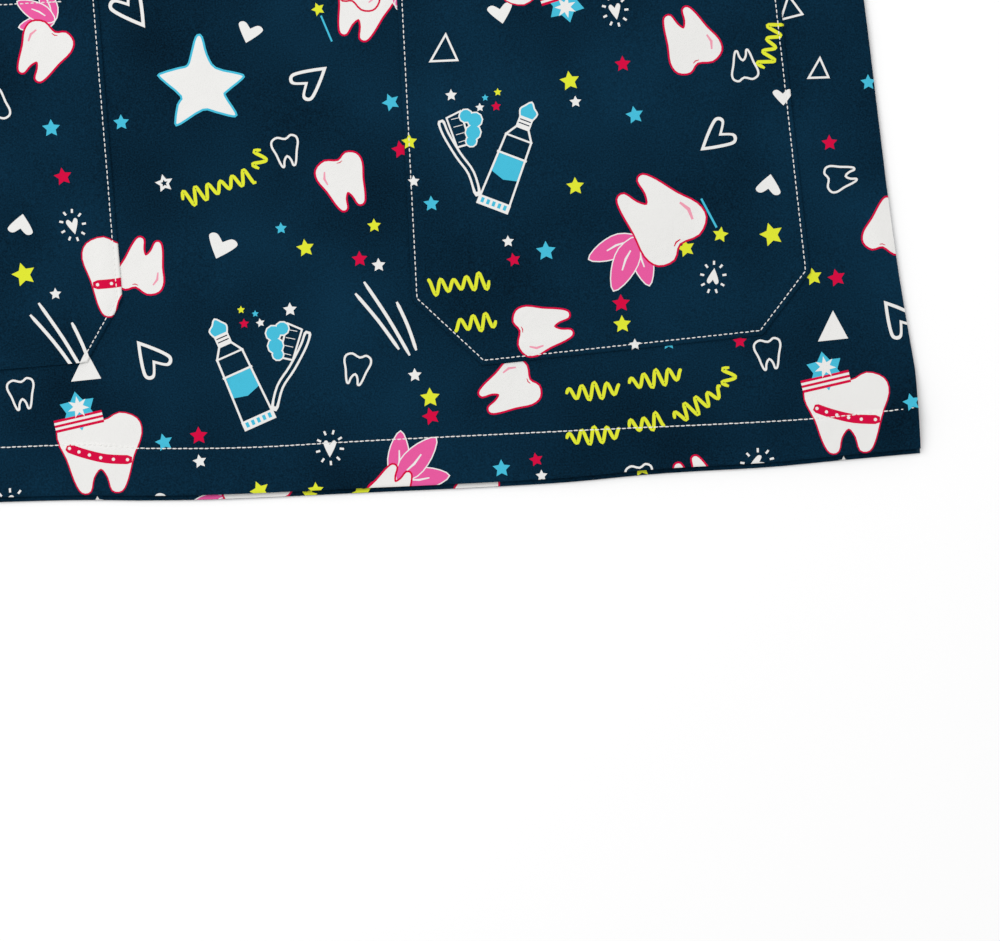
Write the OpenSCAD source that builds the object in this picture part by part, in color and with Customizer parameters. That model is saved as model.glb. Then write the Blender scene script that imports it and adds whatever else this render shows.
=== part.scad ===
// Short-sleeved, V-necked clinic tunic with two patch pockets, lying flat on its back.
// +Z is up, +Y points from the hem to the neck, and +X is the wearer's left.
// The origin is on the surface the tunic lies on, under the middle of its outline.

/* [Body] */
// Length from the lowest hem to the top of the shoulders
body_length = 700; // [660:5:760]
// Half of the width at the hem
hem_half = 277; // [265:1:300]
// Half of the width at the waist
waist_half = 254; // [246:1:264]
// Half of the width under the arms
chest_half = 264; // [258:1:280]
// Height of the waist above the hem
waist_height = 330; // [310:5:350]
// Height of the underarm above the hem
underarm_height = 450; // [430:5:470]
// How far the hem rises from the middle to the side seams
hem_rise = 4; // [0:1:8]
// Depth of the turned-up hem
hem_depth = 20; // [14:1:30]
// How far the back hem shows below the front hem
back_show = 2; // [1:0.5:4]

/* [Neck and shoulders] */
// Half of the neck opening's width at the shoulders
neck_half = 82; // [72:1:95]
// Depth of the V below the top of the shoulders
neck_depth = 160; // [140:5:190]
// Depth of the back neckline below the top of the shoulders
back_neck_depth = 18; // [12:1:26]
// Width of the neckband
band_width = 28; // [20:1:34]
// Half of the width across the shoulder tips
shoulder_half = 228; // [215:1:240]
// Drop of the shoulder tips below the neck
shoulder_drop = 32; // [20:1:45]

/* [Sleeves] */
// Length of the sleeve along its top fold
sleeve_length = 232; // [180:2:260]
// Angle at which the sleeve points down from level
sleeve_angle = 32; // [26:1:38]
// Width of the flat sleeve at its hem
cuff_width = 178; // [165:1:190]
// Depth of the curve of the armhole
armhole_sag = 22; // [10:1:30]

/* [Pockets] */
// Distance from the middle of the tunic to the pocket's inner edge
pocket_inner = 63; // [55:1:75]
// Width of the pocket along its bottom
pocket_width = 171; // [140:1:175]
// Height of the pocket's mouth above the hem
pocket_top = 239; // [220:1:260]
// Height of the pocket's bottom above the hem
pocket_bottom = 52; // [45:1:70]
// Rise of the pocket's bottom edge from its inner to its outer end
pocket_slant = 10; // [0:1:14]
// How far the pocket's outer edge leans in at the mouth
pocket_lean = 9; // [0:1:12]
// Width and height of the folded-in inner corner
inner_corner = [28, 33]; // [20:1:36]
// Width and height of the folded-in outer corner
outer_corner = [19, 22]; // [14:1:28]
// Depth of the turned-in pocket mouth
mouth_depth = 22; // [14:1:30]
// Turn of the right pocket about its inner corner, in degrees
right_pocket_turn = 1.5; // [0:0.5:3]

/* [Cloth] */
// Thickness of one layer of cloth as it lies
cloth = 0.8; // [0.6:0.1:1]
// Height of the front above the surface, over the hollow body
crown_height = 9; // [8:0.5:12]
// Width of the slope from a seam up to the crown
slope_run = 34; // [24:1:36]
// Height of the hollow inside each pocket
pocket_gap = 6; // [5.5:0.5:8]
// Width of the flat sewn border of a pocket
pocket_border = 5; // [4:0.5:8]
// Width of the slope inside the pocket border
pocket_run = 12; // [8:1:16]
// Width of a sewn seam allowance
seam_width = 9; // [6:1:10]

/* [Thread and labels] */
// Width of a line of stitching
thread_width = 0.8; // [0.5:0.1:1.2]
// Height that stitching stands above the cloth
thread_height = 0.3; // [0.2:0.1:0.5]
// Distance of pocket stitching from the pocket's edge
edge_stitch = 2; // [1.5:0.5:3]
// Width and height of the neck label
size_label_size = [26, 32]; // [20:1:40]
// Width and height of the side label
care_label_size = [32, 44]; // [25:1:50]

/* [Hidden] */

navy = "#122A3A";
dark_navy = "#0C1F2C";
white = "#F2EFEC";

curve_steps = 12;                       // segments in each curved edge
run_out = 10;                           // how far cutting shapes pass an open end
seam_top = 2 * cloth;                   // top of a seam allowance lying on the back
label_thickness = 0.3;
hem_inset = 5;                          // keeps the back hem clear of the sloping front
bartack_size = [3, 7];
pocket_level = crown_height + cloth;    // top of the front, where the pockets lie
hollow_low = -0.5;                      // where the slopes of the tunic's hollow start
pocket_sink = 1.1;                      // how far below the front those of a pocket start
wall_gap = 0.25;                        // keeps a sleeve's walls inside its outline
film = 0.02;                            // thickness of the edges that slopes are drawn between
crown_gap = slope_run + hem_inset;      // keeps the upper sleeve hem on the flat crown
armhole_margin = 2 * seam_width;        // how far the armhole's seam starts above the underarm
mouth_level = pocket_level + 2 * cloth; // bottom of the shape that cuts out a pocket's mouth hem

// Corners of the wearer's left half, as [x, height above the lowest hem]
hem_corner = [hem_half, 0];
waist = [waist_half, waist_height];
underarm = [chest_half, underarm_height];
shoulder_tip = [shoulder_half, body_length - shoulder_drop];
neck_point = [neck_half, body_length];
sleeve_way = [cos(sleeve_angle), -sin(sleeve_angle)];
cuff_way = [sleeve_way.y, -sleeve_way.x];
cuff_top = shoulder_tip + sleeve_length * sleeve_way;
cuff_bottom = cuff_top + cuff_width * cuff_way;

function unit(v) = v / norm(v);
function left_of(v) = [-v.y, v.x];
function flip(p) = [-p.x, p.y];
function flipped(points) = [for (i = [len(points) - 1 : -1 : 0]) flip(points[i])];
function cross2(a, b) = a.x * b.y - a.y * b.x;
function meet(p, u, q, w) = p + u * cross2(q - p, w) / cross2(u, w);

// Moves every edge of an anticlockwise outline inwards by its own distance
function inset(points, runs) = [
    for (i = [0 : len(points) - 1])
        let (
            n = len(points),
            before = points[(i + n - 1) % n],
            here = points[i],
            after = points[(i + 1) % n],
            u = unit(here - before),
            w = unit(after - here),
            p = here + left_of(u) * runs[(i + n - 1) % n],
            q = here + left_of(w) * runs[i]
        )
        meet(p, u, q, w)
];
function even_inset(points, run) = inset(points, [for (p = points) run]);

// The whole silhouette, with the run of each edge: the hem and the cuffs are open ends
half_silhouette = [hem_corner, waist, underarm, cuff_bottom, cuff_top, shoulder_tip, neck_point];
silhouette = concat(half_silhouette, flipped(half_silhouette));
function edge_runs(run, out) = let (half = [run, run, run, -out, run, run])
    concat(half, [run], [for (i = [5 : -1 : 0]) half[i]], [-out]);

function armhole_point(t) = underarm + (shoulder_tip - underarm) * t
    + left_of(unit(shoulder_tip - underarm)) * armhole_sag * sin(180 * t);
armhole = [for (i = [0 : curve_steps]) armhole_point(i / curve_steps)];

// The neckband runs in from this point along the shoulder, and down to the V
shoulder_way = unit(shoulder_tip - neck_point);
band_point = neck_point + band_width * shoulder_way;
inner_v = [0, body_length - neck_depth];
v_way = unit(neck_point - inner_v);
outer_v = inner_v - [0, band_width / v_way.x];
front_band_outline = [inner_v, outer_v, band_point, neck_point];

function dip(half, edge_height, middle_height, t) =
    [half * t, middle_height + (edge_height - middle_height) * t * t];
function across(half, edge_height, middle_height) =
    [for (i = [-curve_steps : curve_steps]) dip(half, edge_height, middle_height, i / curve_steps)];
function reversed(points) = [for (i = [len(points) - 1 : -1 : 0]) points[i]];

back_neck_top = across(neck_half, body_length, body_length - back_neck_depth);
back_neck_seam = across(band_point.x, band_point.y, body_length - back_neck_depth - band_width);

function hem_line(low) = across(hem_half, low + hem_rise, low);
function panel_sides() = concat([waist], armhole);
front_outline = concat(hem_line(back_show), panel_sides(), [band_point, outer_v, flip(band_point)],
    flipped(panel_sides()));
back_outline = concat(hem_line(0), panel_sides(), reversed(back_neck_seam), flipped(panel_sides()));
sleeve_outline = concat([cuff_top], reversed(armhole), [cuff_bottom]);

function band_between(low, high) = concat(hem_line(low), reversed(hem_line(high)));
function beside(p, q, near, far) = let (side = left_of(unit(q - p)))
    [p + side * near, q + side * near, q + side * far, p + side * far];

// Pocket outline before it is turned, with its folded-in lower corners. Its mouth is the edge that
// starts at the point numbered pocket_open_edge, and it ends at the one numbered pocket_inner_top
pocket_outer = pocket_inner + pocket_width;
right_inner_corner = [outer_corner.x, inner_corner.y];
function pocket_outline(is_left = true) = let (corner = is_left ? inner_corner : right_inner_corner) [
    [pocket_inner, pocket_bottom + corner.y],
    [pocket_inner + corner.x, pocket_bottom + pocket_slant * corner.x / pocket_width],
    [pocket_outer - outer_corner.x,
        pocket_bottom + pocket_slant * (1 - outer_corner.x / pocket_width)],
    [pocket_outer, pocket_bottom + pocket_slant + outer_corner.y],
    [pocket_outer - pocket_lean, pocket_top],
    [pocket_inner, pocket_top]
];
pocket_open_edge = 4;
pocket_inner_top = 5;
function pocket_inset(outline, run, out) =
    inset(outline, [for (i = [0 : len(outline) - 1]) i == pocket_open_edge ? -out : run]);

// Moves a shape from heights above the hem to the part's own middle
module place() {
    translate([0, -body_length / 2, 0]) children();
}

module slab(outline, low, high) {
    translate([0, 0, low]) linear_extrude(high - low) polygon(outline);
}

// A mound that slopes from a base outline at low up to a flat top at high, edge by edge
module mound(base, top, low, high) {
    n = len(base);
    slab(top, low, high);
    for (i = [0 : n - 1]) {
        j = (i + 1) % n;
        hull() {
            slab([base[i], base[j], top[j], top[i]], low, low + film);
            slab(beside(top[i], top[j], 0, film), low, high);
        }
    }
}

// The hollow inside the whole tunic: its slopes pass seam_top exactly over the silhouette
module hollow(lift) {
    reach = slope_run * (seam_top - hollow_low) / (crown_height - seam_top);
    mound(inset(silhouette, edge_runs(-reach, run_out + reach)),
        inset(silhouette, edge_runs(slope_run, run_out)), hollow_low + lift, crown_height + lift);
}

// A layer of the front between two lifts, cut to an outline
module front_layer(outline, from_lift, to_lift) {
    intersection() {
        difference() {
            hollow(to_lift);
            hollow(from_lift);
        }
        slab(outline, seam_top - cloth, crown_height + 2 * cloth);
    }
}

// The hollow inside a pocket: its slopes pass the front's top exactly at the border
module pocket_hollow(outline, lift) {
    reach = pocket_run * pocket_sink / pocket_gap;
    mound(pocket_inset(outline, pocket_border - reach, run_out + reach),
        pocket_inset(outline, pocket_border + pocket_run, run_out),
        pocket_level - pocket_sink + lift, pocket_level + pocket_gap + lift);
}

// Places a wearer's-left pocket shape, or its mirror image turned a little, on the right
module pocket_side(is_left) {
    if (is_left) {
        children();
    } else {
        mirror([1, 0, 0]) translate([pocket_inner, pocket_bottom, 0])
            rotate([0, 0, -right_pocket_turn]) translate([-pocket_inner, -pocket_bottom, 0])
            children();
    }
}

module mirrored(is_left) {
    if (is_left) {
        children();
    } else {
        mirror([1, 0, 0]) children();
    }
}

module back_body() {
    color(navy) place() slab(back_outline, 0, cloth);
}

module back_hem() {
    color(dark_navy) place() intersection() {
        slab(band_between(0, hem_depth), cloth, 2 * cloth);
        translate([-hem_half + hem_inset, -1, 0])
            cube([2 * (hem_half - hem_inset), 2 * hem_depth, crown_height]);
    }
}

module back_neckband() {
    color(dark_navy) place() slab(concat(back_neck_seam, reversed(back_neck_top)), 0, cloth);
}

module front_body() {
    color(navy) place() front_layer(front_outline, 0, cloth);
}

module front_hem() {
    color(dark_navy) place()
        front_layer(band_between(back_show, back_show + hem_depth), -cloth, 0);
}

module front_neckband(is_left) {
    color(dark_navy) place() mirrored(is_left) front_layer(front_band_outline, 0, cloth);
}

// The wall that joins a sleeve's two layers along an edge, just inside its outline
function sleeve_wall(p, q) = let (end = unit(q - p) * wall_gap)
    beside(p + end, q - end, wall_gap, wall_gap + cloth);

module sleeve_back(is_left) {
    color(navy) place() mirrored(is_left) slab(sleeve_outline, 0, cloth);
}

// The front layer of a sleeve, with the fold and the seam that stand on the back layer
module sleeve_front(is_left) {
    color(navy) place() mirrored(is_left) {
        front_layer(sleeve_outline, 0, cloth);
        slab(sleeve_wall(cuff_top, shoulder_tip), cloth, seam_top + cloth / 2);
        slab(sleeve_wall(underarm, cuff_bottom), cloth, seam_top + cloth / 2);
    }
}

// The strip of a sleeve between two distances from its hem, clear of its edges by a gap
function cuff_strip(near, far, gap) =
    beside(cuff_bottom - gap * cuff_way, cuff_top + gap * cuff_way, near, far);

module sleeve_hem(is_left) {
    color(dark_navy) place() mirrored(is_left) {
        slab(cuff_strip(0, hem_depth, hem_inset), cloth, seam_top);
        slab(cuff_strip(0, hem_depth, crown_gap), crown_height - cloth, crown_height);
    }
}

module sleeve_hem_stitching(is_left) {
    color(white) place() mirrored(is_left)
        slab(cuff_strip(hem_depth - thread_width, hem_depth, crown_gap),
            pocket_level, pocket_level + thread_height);
}

module pocket(is_left) {
    outline = pocket_outline(is_left);
    color(navy) place() pocket_side(is_left) intersection() {
        difference() {
            union() {
                slab(outline, pocket_level, pocket_level + cloth);
                pocket_hollow(outline, cloth);
            }
            pocket_hollow(outline, 0);
        }
        slab(outline, pocket_level, pocket_level + pocket_gap + 2 * cloth);
    }
}

module pocket_mouth_hem(is_left) {
    outline = pocket_outline();
    color(dark_navy) place() pocket_side(is_left) intersection() {
        difference() {
            pocket_hollow(outline, 0);
            pocket_hollow(outline, -cloth);
        }
        translate([pocket_inner, pocket_top - mouth_depth, mouth_level])
            cube([pocket_width, mouth_depth, pocket_gap]);
    }
}

module stitch_line(p, q, z) {
    slab(beside(p, q, -thread_width / 2, thread_width / 2), z, z + thread_height);
}

module pocket_stitching(is_left) {
    outline = pocket_outline(is_left);
    line = even_inset(outline, edge_stitch);
    z = pocket_level + cloth;
    color(white) place() pocket_side(is_left) {
        for (i = [0 : pocket_open_edge - 1]) stitch_line(line[i], line[i + 1], z);
        stitch_line(line[pocket_inner_top], line[0], z);
    }
}

module pocket_mouth_stitching(is_left) {
    outline = pocket_outline();
    color(white) place() pocket_side(is_left) intersection() {
        difference() {
            pocket_hollow(outline, cloth + thread_height);
            pocket_hollow(outline, cloth);
        }
        translate([pocket_inner, pocket_top - mouth_depth, mouth_level])
            cube([pocket_width, thread_width, pocket_gap + cloth]);
    }
}

module pocket_bartacks(is_left) {
    line = even_inset(pocket_outline(), edge_stitch);
    z = pocket_level + cloth;
    color(white) place() pocket_side(is_left) {
        for (corner = [line[pocket_inner_top], line[pocket_open_edge] - [bartack_size.x, 0]])
            translate([corner.x, pocket_top - mouth_depth, z + thread_height])
                cube([bartack_size.x, bartack_size.y, thread_height]);
    }
}

module side_seam(is_left) {
    edge = [hem_corner, waist, underarm];
    color(dark_navy) place() mirrored(is_left) intersection() {
        slab(concat(edge, reversed([for (p = edge) p - [seam_width, 0]])), cloth, seam_top);
        translate([0, back_show + hem_depth + hem_rise, 0])
            cube([hem_half, underarm_height - 2 * hem_depth, seam_top]);
    }
}

module shoulder_seam(is_left) {
    color(dark_navy) place() mirrored(is_left)
        slab(beside(shoulder_tip, band_point, 0, seam_width), cloth, seam_top);
}

// Seam allowance around the armhole, on the back and under the front
module armhole_seam(is_left) {
    ring = concat(armhole, reversed([for (p = armhole) p - [seam_width, 0]]));
    color(dark_navy) place() mirrored(is_left) intersection() {
        union() {
            slab(ring, cloth, seam_top);
            front_layer(ring, -cloth, 0);
        }
        translate([0, underarm_height + armhole_margin, 0])
            cube([chest_half, shoulder_tip.y - underarm_height - 2 * armhole_margin, crown_height]);
    }
}

module size_label() {
    top = body_length - back_neck_depth - band_width;
    color(white) place() translate([-size_label_size.x / 2, top - size_label_size.y, cloth])
        cube([size_label_size.x, size_label_size.y, label_thickness]);
}

module care_label() {
    edge = waist_half - seam_width - care_label_size.x;
    color(white) place() translate([edge, waist_height / 2, cloth])
        cube([care_label_size.x, care_label_size.y, label_thickness]);
}

module front_hem_stitching() {
    top = back_show + hem_depth;
    color(white) place()
        front_layer(band_between(top - thread_width, top), cloth, cloth + thread_height);
}

module back_hem_stitching() {
    top = hem_depth - thread_width;
    color(white) place() intersection() {
        slab(band_between(top - thread_width, top), seam_top, seam_top + thread_height);
        translate([-hem_half + 2 * hem_inset, 0, 0])
            cube([2 * (hem_half - 2 * hem_inset), 2 * hem_depth, crown_height]);
    }
}

// Topstitching on the body beside the neckband: down both sides of the V and across the back
module neckband_stitching() {
    low = back_neck_depth + band_width + edge_stitch;
    seam = across(band_point.x - edge_stitch, band_point.y - 2 * edge_stitch, body_length - low);
    color(white) place() {
        for (is_left = [true, false])
            mirrored(is_left)
                front_layer(beside(outer_v, band_point, -edge_stitch - thread_width, -edge_stitch),
                    cloth, cloth + thread_height);
        slab(concat([for (p = seam) p - [0, thread_width]], reversed(seam)),
            cloth, cloth + thread_height);
    }
}

back_body();
back_hem();
back_neckband();
front_body();
front_hem();
front_neckband(true);  // left_front_neckband
front_neckband(false);  // right_front_neckband
sleeve_back(true);  // left_sleeve_back
sleeve_back(false);  // right_sleeve_back
sleeve_front(true);  // left_sleeve_front
sleeve_front(false);  // right_sleeve_front
sleeve_hem(true);  // left_sleeve_hem
sleeve_hem(false);  // right_sleeve_hem
pocket(true);  // left_pocket
pocket(false);  // right_pocket
pocket_mouth_hem(true);  // left_pocket_mouth_hem
pocket_mouth_hem(false);  // right_pocket_mouth_hem
side_seam(true);  // left_side_seam
side_seam(false);  // right_side_seam
shoulder_seam(true);  // left_shoulder_seam
shoulder_seam(false);  // right_shoulder_seam
armhole_seam(true);  // left_armhole_seam
armhole_seam(false);  // right_armhole_seam
size_label();
care_label();
front_hem_stitching();
back_hem_stitching();
sleeve_hem_stitching(true);  // left_sleeve_hem_stitching
sleeve_hem_stitching(false);  // right_sleeve_hem_stitching
pocket_stitching(true);  // left_pocket_stitching
pocket_stitching(false);  // right_pocket_stitching
pocket_mouth_stitching(true);  // left_pocket_mouth_stitching
pocket_mouth_stitching(false);  // right_pocket_mouth_stitching
pocket_bartacks(true);  // left_pocket_bartacks
pocket_bartacks(false);  // right_pocket_bartacks
neckband_stitching();
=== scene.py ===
# A printed cotton clinic tunic with two patch pockets, lying flat on a pale surface.
# Cuts of cloth are laid out in millimetres: u runs to the wearer's left and v up from the lowest hem.
import math

import bmesh
import bpy
import numpy as np
from mathutils.geometry import delaunay_2d_cdt
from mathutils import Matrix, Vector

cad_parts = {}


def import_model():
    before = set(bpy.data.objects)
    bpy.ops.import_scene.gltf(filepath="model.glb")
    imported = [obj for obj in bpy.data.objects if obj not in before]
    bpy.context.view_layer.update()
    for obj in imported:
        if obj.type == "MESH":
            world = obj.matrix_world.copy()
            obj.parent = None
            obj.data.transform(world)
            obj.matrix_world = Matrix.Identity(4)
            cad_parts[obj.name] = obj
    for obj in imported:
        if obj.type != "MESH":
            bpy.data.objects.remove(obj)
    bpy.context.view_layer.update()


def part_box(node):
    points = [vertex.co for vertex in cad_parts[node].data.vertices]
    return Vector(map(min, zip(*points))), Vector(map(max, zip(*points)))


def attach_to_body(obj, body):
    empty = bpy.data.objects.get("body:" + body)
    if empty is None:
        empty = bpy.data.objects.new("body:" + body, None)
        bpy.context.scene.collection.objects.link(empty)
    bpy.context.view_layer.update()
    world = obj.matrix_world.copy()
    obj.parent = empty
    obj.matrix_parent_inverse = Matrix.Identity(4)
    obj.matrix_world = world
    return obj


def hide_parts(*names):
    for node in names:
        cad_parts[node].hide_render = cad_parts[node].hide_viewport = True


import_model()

MM = 0.001
BODY_LENGTH = (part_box("back_neckband")[1][1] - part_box("back_body")[0][1]) / MM
HEM_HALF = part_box("back_body")[1][0] / MM
HEM_DEPTH = 20          # of every turned-up hem
HEM_RISE = 4            # from the middle of the hem to the side seams
BACK_SHOW = 2           # how far the back hem shows below the front hem
BAND_WIDTH = 28
BAND_REACH = 15.7       # how far the left neckband reaches over the right one
NECK_HALF = 82
NECK_DEPTH = 160
BACK_NECK_DEPTH = 18
SHOULDER_TIP = (228, BODY_LENGTH - 32)
UNDERARM = (264, 450)
ARMHOLE_SAG = 22
SLEEVE_LENGTH = 232
SLEEVE_ANGLE = 32       # degrees down from level
CUFF_WIDTH = 178
CUFF_MARGIN = 4         # between the ends of a sleeve's turned hem and its folds
POCKET_TOP = 239
MOUTH_DEPTH = 22        # of the turned-in pocket mouth
SEAM_WIDTH = 8          # of the seam allowances
EDGE_STITCH = 2.2       # from a pocket's edge to its stitches
CLOTH = 0.45            # thickness of one layer of cloth
LAYER_GAP = 0.02        # left between layers that lie on each other
FLOOR_GAP = 0.1
BACK_TOP = FLOOR_GAP + CLOTH
INSIDE_BACK = BACK_TOP + CLOTH + LAYER_GAP      # top of a second layer that lies on the back
PRESS_DEPTH = 0.16      # how far a line of stitches presses the cloth in
PRESS_WIDTH = 1.3

# ---------------------------------------------------------------- outlines


def unit(v):
    return np.asarray(v, float) / np.linalg.norm(v)


def smooth(points, steps=6, closed=False):
    """A curve through all the points, with `steps` segments between each two."""
    p = np.asarray(points, float)
    n = len(p)
    out = []
    for i in range(n if closed else n - 1):
        if closed:
            a, b, c, d = p[(i - 1) % n], p[i], p[(i + 1) % n], p[(i + 2) % n]
        else:
            a, b, c, d = p[max(i - 1, 0)], p[i], p[i + 1], p[min(i + 2, n - 1)]
        for t in np.arange(steps) / steps:
            out.append(0.5 * (2 * b + (c - a) * t + (2 * a - 5 * b + 4 * c - d) * t ** 2
                              + (3 * b - a - 3 * c + d) * t ** 3))
    if not closed:
        out.append(p[-1])
    return np.array(out)


def flip(points):
    return np.asarray(points, float)[::-1] * (-1, 1)


def join(*parts):
    return np.vstack([np.atleast_2d(p) for p in parts])


def divided(line, step, closed=False):
    """The same line with more points on it, so that none are further apart than a step."""
    line = np.asarray(line, float)
    out = []
    for a, b in zip(line, np.roll(line, -1, axis=0) if closed else line[1:]):
        count = max(int(math.ceil(np.linalg.norm(b - a) / step)), 1)
        out += [a + (b - a) * k / count for k in range(count)]
    return np.array(out if closed else out + [line[-1]])


def shifted(line, distance):
    """An open line moved sideways, to its left."""
    way = np.gradient(np.asarray(line, float), axis=0)
    way /= np.linalg.norm(way, axis=1)[:, None]
    return line + distance * np.column_stack([-way[:, 1], way[:, 0]])


def inset(outline, distance):
    """A closed anticlockwise outline with every edge moved inwards."""
    p = np.asarray(outline, float)
    before, after = p - np.roll(p, 1, axis=0), np.roll(p, -1, axis=0) - p
    n1 = np.array([(-w[1], w[0]) for w in map(unit, before)])
    n2 = np.array([(-w[1], w[0]) for w in map(unit, after)])
    mitre = n1 + n2
    return p + distance * mitre * (2 / (mitre ** 2).sum(axis=1))[:, None]


# The hem as it lies, a little uneven: its lower edge, and the upper edge of the front's turned hem
HEM_EDGE = smooth([(-277, 5.5), (-200, 5.5), (-97, 3.6), (-55, 1.4), (-20, 0.2), (35, -0.2), (85, -0.6),
                   (125, -0.4), (165, 1.2), (210, 1.4), (240, 2.6), (277, HEM_RISE)], 8)
HEM_FOLD = smooth([(-277, 28), (-98, 27.2), (-59, 24), (-12, 21.8), (45, 21.9), (130, 21.5), (226, 21),
                   (277, 23.5)], 8)


def hem_edge(u):
    return np.interp(u, *HEM_EDGE.T)


def hem_fold(u):
    return np.interp(u, *HEM_FOLD.T)


def hem_line(low, edge=hem_edge, steps=56):
    """A line from side seam to side seam, at a height over one edge of the hem."""
    u = np.linspace(-HEM_HALF, HEM_HALF, steps + 1)
    return np.column_stack([u, low + edge(u)])


def across(half, edge, middle, steps=20):
    """A bowed line over the whole width of the neck."""
    t = np.linspace(-1, 1, steps + 1)
    return np.column_stack([half * t, middle + (edge - middle) * t ** 2])


side = smooth([(276.5, 40), (270, 100), (263, 200), (255.5, 290), (254, 340), (257, 395), UNDERARM], 4)
sag = unit(np.subtract(SHOULDER_TIP, UNDERARM))
armhole = np.array([np.add(UNDERARM, np.subtract(SHOULDER_TIP, UNDERARM) * t)
                    + np.array((-sag[1], sag[0])) * ARMHOLE_SAG * math.sin(math.pi * t)
                    for t in np.linspace(0, 1, 15)])
neck_point = np.array((NECK_HALF, BODY_LENGTH))
shoulder_way = unit(SHOULDER_TIP - neck_point)
band_point = neck_point + BAND_WIDTH * shoulder_way
inner_v = np.array((0, BODY_LENGTH - NECK_DEPTH))
v_way = unit(neck_point - inner_v)
outer_v = inner_v - (0, BAND_WIDTH / v_way[0])
sleeve_way = np.array((math.cos(math.radians(SLEEVE_ANGLE)), -math.sin(math.radians(SLEEVE_ANGLE))))
cuff_way = np.array((sleeve_way[1], -sleeve_way[0]))
cuff_top = SHOULDER_TIP + SLEEVE_LENGTH * sleeve_way
cuff_bottom = cuff_top + CUFF_WIDTH * cuff_way

neck_low = BODY_LENGTH - BACK_NECK_DEPTH - BAND_WIDTH
back_neck_top = across(NECK_HALF, BODY_LENGTH, BODY_LENGTH - BACK_NECK_DEPTH)
back_neck_seam = across(band_point[0], band_point[1], neck_low)
front_outline = join(hem_line(BACK_SHOW), side, armhole[1:], band_point, outer_v, flip(band_point[None]),
                     flip(armhole[1:]), flip(side))
back_outline = join(hem_line(0), side, armhole[1:], back_neck_seam[::-1], flip(armhole[1:]), flip(side))
sleeve_outline = join(cuff_top, armhole[::-1], cuff_bottom)
cross_point = (outer_v + inner_v) / 2 - (BAND_REACH, 0)
left_band_outline = join(cross_point, outer_v, band_point, neck_point)
right_band_outline = flip(join(inner_v, outer_v, band_point, neck_point))
half_silhouette = join((HEM_HALF, HEM_RISE), side, cuff_bottom, cuff_top, SHOULDER_TIP, neck_point)
silhouette = join(half_silhouette, flip(half_silhouette))

# Pockets, from their lower corners up to the two ends of the mouth
left_pocket_outline = np.array([(62.5, 81), (91, 51.5), (212, 58), (234, 84),
                                (225, POCKET_TOP), (63, POCKET_TOP)])
right_pocket_outline = flip([(61.5, 88), (78, 62), (214, 58), (237, 82),
                             (231, POCKET_TOP), (65.5, POCKET_TOP)])
right_pocket_outline = np.roll(right_pocket_outline, 1, axis=0)


def inside(points, outline):
    """Which points an outline holds."""
    x, y = np.asarray(points, float).T
    odd = np.zeros(len(x), bool)
    for (x1, y1), (x2, y2) in zip(outline, np.roll(outline, -1, axis=0)):
        if y1 == y2:
            continue
        odd ^= ((y1 > y) != (y2 > y)) & (x < (x2 - x1) * (y - y1) / (y2 - y1) + x1)
    return odd


def distance(points, line, closed=False):
    """How far each point is from a line of segments."""
    p = np.asarray(points, float)
    best = np.full(len(p), 1e9)
    for a, b in zip(line, np.roll(line, -1, axis=0) if closed else line[1:]):
        w = np.subtract(b, a)
        t = np.clip(((p - a) @ w) / max(w @ w, 1e-9), 0, 1)
        best = np.minimum(best, np.linalg.norm(p - (a + t[:, None] * w), axis=1))
    return best


def ease(x):
    """A smooth step from 0 to 1."""
    x = np.clip(x, 0, 1)
    return x * x * (3 - 2 * x)


# ---------------------------------------------------------------- how the front lies

SPACING = 8             # of the lattice that holds the front's heights
CROWN = 5.0             # height of the front's middle before it settles
SETTLE_FRAMES = 24
lattice_u = np.arange(-54, 55) * float(SPACING)
lattice_v = np.arange(-1, 90) * float(SPACING)
sealed = [join(side, cuff_bottom), join(cuff_top, SHOULDER_TIP, neck_point)]
sealed += [flip(line) for line in sealed]
full_side = join((HEM_HALF, HEM_RISE), side)


def ripples(u, v):
    """Low, wide waves that cloth keeps from being folded and handled."""
    return (0.5 * np.sin(u / 47 + 0.8 * np.sin(v / 90)) * np.sin(v / 71 + 1.3)
            + 0.35 * np.sin((u + 0.6 * v) / 33 + 2.1) + 0.25 * np.sin((0.8 * u - v) / 24 + 0.4))


def new_object(name, verts, faces, materials=()):
    mesh = bpy.data.meshes.new(name)
    mesh.from_pydata(verts, [], faces)
    for material in materials:
        mesh.materials.append(material)
    thing = bpy.data.objects.new(name, mesh)
    bpy.context.collection.objects.link(thing)
    return thing


def flat_square(name, half, materials=()):
    """A level square on the surface that the tunic lies on. half is in metres."""
    corners = [(-half, -half, 0), (half, -half, 0), (half, half, 0), (-half, half, 0)]
    return new_object(name, corners, [(0, 1, 2, 3)], materials)


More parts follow.
